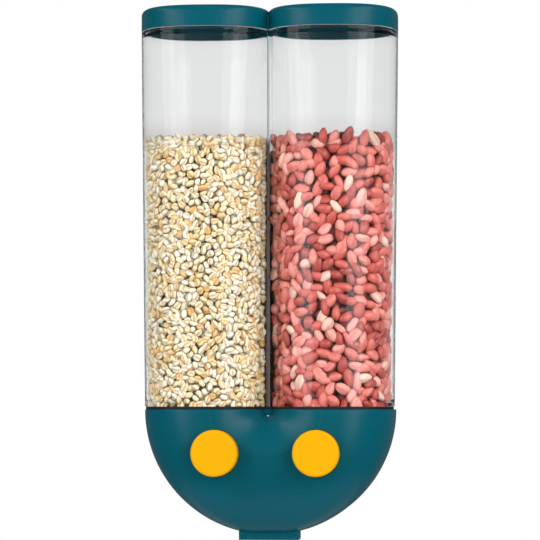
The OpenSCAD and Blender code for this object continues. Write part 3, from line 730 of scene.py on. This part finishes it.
def wall_layer(rng, kind, side, depth, gap):
    """Centres, axes and half-sizes of seeds that lie against a bin's wall, all the way round."""
    spread = kind["spread"]
    guide = cell(DRAFT / 2 + BIN_WALL + depth, PARTITION / 2 + depth)
    ring = np.concatenate([guide, guide[:1]])
    steps = np.linalg.norm(np.diff(ring, axis=0), axis=1)
    run = np.concatenate([[0], np.cumsum(steps)])
    spots = scattered(rng, run[-1], FILL_Z - FILL_FOOT, gap)
    s, z = spots[:, 0], spots[:, 1] + FILL_FOOT

    def on_ring(way):
        return np.column_stack([np.interp(way, run, ring[:, 0]), np.interp(way, run, ring[:, 1])])

    t = on_ring((s + NEAR) % run[-1]) - on_ring((s - NEAR) % run[-1])
    t /= np.linalg.norm(t, axis=1, keepdims=True)
    tangents = np.column_stack([t, np.zeros(len(t))])
    normals = np.column_stack([t[:, 1], -t[:, 0], np.zeros(len(t))])
    half = sized(rng, kind, len(s))
    axes = turned(rng, len(s), normals, tangents, kind["tilt"])
    reach = np.sqrt(sum((half[:, i] * (axes[i] * normals).sum(1)) ** 2 for i in range(3)))
    bow = (half[:, 0] * (axes[0] * tangents).sum(1)) ** 2 / (2 * WALL_CURVE_R)
    inset = DRAFT * (0.5 - (z - SEAL_T) / (SHOULDER - SEAL_T))
    sink = reach + bow + SEED_ROOM + rng.random(len(s)) * spread + inset
    centre = np.column_stack([on_ring(s), z]) - normals * sink[:, None]
    centre[:, 2] = np.minimum(centre[:, 2], FILL_Z - 1 + rng.normal(0, spread * 0.5, len(s)))
    centre[:, 0] *= side
    return centre, [a * [side, 1, 1] for a in axes], half


def top_layer(rng, kind, side, gap, height):
    """Centres, axes and half-sizes of seeds on the uneven top of the fill."""
    guide = cell(DRAFT * (1 - FILL_Z / SHOULDER) + BIN_WALL, PARTITION / 2)
    low, high = guide.min(0), guide.max(0)
    spots = scattered(rng, high[0] - low[0], high[1] - low[1], gap) + low
    pad = kind["size"][0] / 2 * 0.95
    u = abs((spots[:, 0] - LOBE_CX) / (LOBE_A - BIN_WALL - pad)) ** PLAN_POWER
    v = abs(spots[:, 1] / (LOBE_B - BIN_WALL - pad)) ** PLAN_POWER
    inside = (u + v < 1) & (spots[:, 0] > PARTITION / 2 + pad)
    spots = spots[inside]
    count = len(spots)
    flat = np.tile([[0.0, 0.0, 1.0]], (count, 1))
    roll = rng.random(count) * 2 * math.pi
    along = np.column_stack([np.cos(roll), np.sin(roll), rng.normal(0, 0.3, count)])
    along /= np.linalg.norm(along, axis=1, keepdims=True)
    across = np.cross(flat, along)
    across /= np.linalg.norm(across, axis=1, keepdims=True)
    out = np.cross(along, across)
    z = height + rng.normal(0, kind["spread"] * 0.45, count)
    centre = np.column_stack([spots, z])
    centre[:, 0] *= side
    return centre, [a * [side, 1, 1] for a in (along, across, out)], sized(rng, kind, count)


def sized(rng, kind, count):
    """Half-sizes of seeds, each a little different."""
    vary = 1 + rng.normal(0, kind["vary"], (count, 3))
    return np.array(kind["size"]) / 2 * np.clip(vary, *SIZE_LIMITS)


def seed_mesh(name, parts, shape, bend, material):
    """One mesh of many seeds from their centres, axes and half-sizes, narrower at one end."""
    unit, uv, faces = shape
    centre = np.concatenate([p[0] for p in parts])
    axes = [np.concatenate([p[1][i] for p in parts]) for i in range(3)]
    half = np.concatenate([p[2] for p in parts])
    local = unit.copy()
    local[:, 2] -= bend * (unit[:, 0] ** 2 - BEND_LIFT)
    local[:, 1] *= 1 - SEED_TAPER * unit[:, 0]
    scaled = local[None] * half[:, None, :]
    points = centre[:, None, :] + sum(
        scaled[:, :, i, None] * axes[i][:, None, :] for i in range(3))
    flipped = np.linalg.det(np.stack(axes, 1)) < 0
    count, size = len(centre), len(unit)
    tris = faces[None] + (np.arange(count) * size)[:, None, None]
    tris[flipped] = tris[flipped][:, :, ::-1]
    tris = tris.reshape(-1, 3)
    obj = add_mesh(name, points.reshape(-1, 3), tris.tolist(), SEED_SHARP)
    layer = obj.data.uv_layers.new(name="UVMap")
    loops = np.empty(len(obj.data.loops), np.int64)
    obj.data.loops.foreach_get("vertex_index", loops)
    layer.data.foreach_set("uv", uv[loops % size].ravel())
    finish_piece(obj, "dispenser", material, None)


def core(name, side, inset, material):
    """Dark solid in the heart of the fill, behind the seeds: painted shade standing for the unlit
    seeds deep inside.
    """
    levels = (HEART_FOOT, 60.0, 120.0, FILL_Z - inset * 0.7)
    rings = [at_z(cell(inset, HEART_EDGE), z) for z in levels]
    form = lofted(rings)
    heart = add_mesh(name, *(form if side > 0 else mirrored(*form)))
    finish_piece(heart, "dispenser", material, None)


GRAIN_TINTS = [(0.0, (0.84, 0.52, 0.20)), (0.10, (0.98, 0.80, 0.44)), (0.4, (1.0, 0.93, 0.64)),
               (0.8, (1.0, 1.0, 0.86))]
GRAIN_GROOVE, GRAIN_TIP = (0.68, 0.31, 0.07), (0.82, 0.62, 0.38)
NUT_TINTS = [(0.0, (0.38, 0.045, 0.03)), (0.28, (0.64, 0.10, 0.075)), (0.58, (0.86, 0.22, 0.18)),
             (0.88, (1.0, 0.42, 0.37)), (1.0, (1.0, 0.74, 0.60))]
NUT_GROOVE, NUT_TIP, NUT_BEND = (0.42, 0.05, 0.035), (0.55, 0.32, 0.30), 0.08


def dimmer(tints, factor):
    """The same tints at a lower light."""
    return [(place, shade(colour, factor)) for place, colour in tints]


def make_food():
    """Pale grains in the left bin and red-skinned peanuts in the right: a layer against the wall,
    seeds on top, a layer behind in a darker copy of the skin (painted shade) and a dark heart that
    is painted shade too. One run of random numbers serves all the layers, so their order counts."""
    rng = np.random.default_rng(RANDOM_SEED)
    skin = grain_skin("grain_skin", GRAIN_TINTS, groove=GRAIN_GROOVE, tip=GRAIN_TIP,
                      roughness=0.5, specular=0.35, bump_scale=1400, streak=0.8, reach=0.0012)
    # Painted shade: the grains behind the wall layer get a darker copy of the skin.
    painted_shade_skin = grain_skin("grain_skin_painted_shade", dimmer(GRAIN_TINTS, 0.5), groove=(0.30, 0.13, 0.03),
                     tip=GRAIN_TIP, roughness=0.6, specular=0.2, bump_scale=1400, streak=0.8,
                     reach=0.0012)
    kernel = spheroid(segments=12, rings=5, groove=0.28)
    tiny = spheroid(segments=8, rings=3, groove=0.2)
    front = wall_layer(rng, GRAIN, -1, depth=0, gap=3.75)
    seed_mesh("grains_outer", [front], kernel, 0.0, skin)
    tops = [top_layer(rng, GRAIN, -1, gap, FILL_Z - low)
            for gap, low in ((4.0, 1.9), (4.3, 4.2))]
    seed_mesh("grains_top", tops, kernel, 0.0, skin)
    behind = wall_layer(rng, GRAIN, -1, depth=2.3, gap=3.9)
    seed_mesh("grains_behind", [behind], tiny, 0.0, painted_shade_skin)
    # Painted shade: a dark dull solid fills the grains' heart, standing for the unlit seeds deep
    # inside.
    shadow = rubber("fill_heart_painted_shade", (0.10, 0.048, 0.016), 0.9)
    core("grains_heart", -1, 8.5, shadow)
    skin = grain_skin("nut_skin", NUT_TINTS, groove=NUT_GROOVE, tip=NUT_TIP, roughness=0.38,
                      specular=0.55, bump_scale=500, streak=0.35, reach=0.0035)
    # Painted shade: the nuts behind the wall layer get a darker copy of the skin.
    painted_shade_skin = grain_skin("nut_skin_painted_shade", dimmer(NUT_TINTS, 0.22), groove=(0.12, 0.02, 0.01),
                     tip=(0.70, 0.50, 0.48), roughness=0.5, specular=0.2, bump_scale=500,
                     streak=0.35, reach=0.0025)
    nut, coarse = spheroid(segments=16, rings=10), spheroid(segments=8, rings=5)
    front = wall_layer(rng, NUT, 1, depth=0, gap=6.1)
    seed_mesh("nuts_outer", [front], nut, NUT_BEND, skin)
    top = top_layer(rng, NUT, 1, gap=7.2, height=FILL_Z - 4.0)
    seed_mesh("nuts_top", [top], nut, NUT_BEND, skin)
    behind = wall_layer(rng, NUT, 1, depth=4.4, gap=6.8)
    seed_mesh("nuts_behind", [behind], coarse, NUT_BEND, painted_shade_skin)
    # Painted shade: a near-black dull solid fills the nuts' heart, standing for the unlit nuts
    # deep inside.
    shadow = rubber("nut_heart_painted_shade", (0.03, 0.004, 0.003), 0.9)
    core("nuts_heart", 1, 13.0, shadow)


# ---------------------------------------------------------------- CAD nodes that stay
CAD_FINISH = {
    "wall_bracket": dark, "rear_cover": teal, "rear_cover_screws": bright, "hopper": inner,
    "hopper_screws": bright, "gate_tray_left": inner, "gate_tray_right": inner,
    "tray_screws": bright, "outlet_chute": teal, "lid_seal": seal, "button_left": yellow,
    "button_right": yellow, "gate_left": inner, "gate_right": inner,
}


def dress_cad():
    """New materials for the CAD nodes that keep their own mesh."""
    for name, material in CAD_FINISH.items():
        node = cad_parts[name]
        node.data.materials.clear()
        node.data.materials.append(material)


# ---------------------------------------------------------------- studio
def add_camera():
    """The photograph's view: slightly from the right, and from below the object's middle."""
    turn = math.radians(CAMERA_TURN)
    camera = bpy.data.objects.new("camera", bpy.data.cameras.new("camera"))
    bpy.context.scene.collection.objects.link(camera)
    middle = Vector((0, -WALL_Y * MM, 0))
    camera.location = middle + Vector((CAMERA_AWAY * math.sin(turn),
                                       -CAMERA_AWAY * math.cos(turn), CAMERA_Z))
    aim = middle + Vector((0, 0, AIM_Z))
    camera.rotation_euler = (aim - camera.location).to_track_quat("-Z", "Y").to_euler()
    camera.data.sensor_width, camera.data.lens = SENSOR, LENS
    camera.data.clip_start, camera.data.clip_end = 0.05, 40
    bpy.context.scene.camera = camera


def add_softbox(name, azimuth, width, radiance):
    """Area light that faces the object, at an azimuth from the front towards the right."""
    lamp = bpy.data.lights.new(name, "AREA")
    lamp.shape, lamp.size, lamp.size_y = "RECTANGLE", width, LAMP_HEIGHT
    lamp.energy = radiance * math.pi * width * LAMP_HEIGHT
    light = bpy.data.objects.new(name, lamp)
    bpy.context.scene.collection.objects.link(light)
    turn = math.radians(azimuth)
    light.location = (LAMP_AWAY * math.sin(turn), LAMP_AIM_Y - LAMP_AWAY * math.cos(turn), LAMP_Z)
    aim = Vector((0, LAMP_AIM_Y, LAMP_AIM_Z)) - light.location
    aim.z *= LAMP_TILT
    light.rotation_euler = aim.to_track_quat("-Z", "Z").to_euler()


def add_world():
    """Even soft light, a dim room in reflections that gets lighter towards the back, and plain
    white for what the camera sees, directly or through the clear bins."""
    n = Nodes("studio", "World")
    path = n.add("LightPath").outputs
    place = n.split(n.add("TexCoord").outputs["Generated"])
    room = n.span(place["Y"], -0.3, 0.7, 0.01, 0.13)
    soft = n.add("Mix", Factor=path["Is Glossy Ray"], A=0.4, B=room)
    no_bounce = n.math("LESS_THAN", path["Diffuse Depth"], 0.5)
    through = n.math("MULTIPLY", path["Is Transmission Ray"], no_bounce)
    direct = n.math("MAXIMUM", path["Is Camera Ray"], through)
    level = n.add("Mix", Factor=direct, A=soft.outputs["Result"], B=1.0)
    background = n.add("Background", Color=(1, 1, 1, 1), Strength=level.outputs["Result"])
    bpy.context.scene.world = n.surface(background)


def add_floor():
    """Plain pale floor, below the outlet."""
    count = 96
    t = np.arange(count) * 2 * math.pi / count
    mesh = bpy.data.meshes.new("floor")
    ring = np.column_stack([FLOOR_R * np.cos(t), FLOOR_R * np.sin(t), np.full(count, FLOOR_Z)])
    mesh.from_pydata(ring.tolist(), [], [tuple(range(count))])
    floor = bpy.data.objects.new("floor", mesh)
    bpy.context.scene.collection.objects.link(floor)
    n = Nodes("floor")
    tone = n.ramp(n.noise(8, 4), [(0.3, (0.82, 0.82, 0.82)), (0.7, (0.86, 0.86, 0.86))])
    normal = n.bump(n.noise(60, 3), 0.0005, 0.1)
    shader = n.add("BsdfPrincipled", Base_Color=tone, Normal=normal, Roughness=0.8)
    mesh.materials.append(n.surface(shader))


add_camera()
add_world()
add_floor()
add_softbox("key", azimuth=43, width=0.8, radiance=3.5)
add_softbox("strip", azimuth=-47, width=0.6, radiance=3.3)
bpy.context.scene.view_settings.view_transform = "Standard"

make_lid()
make_bins()
make_seal()
make_base()
make_spring(-1)
make_spring(1)
make_food()
dress_cad()
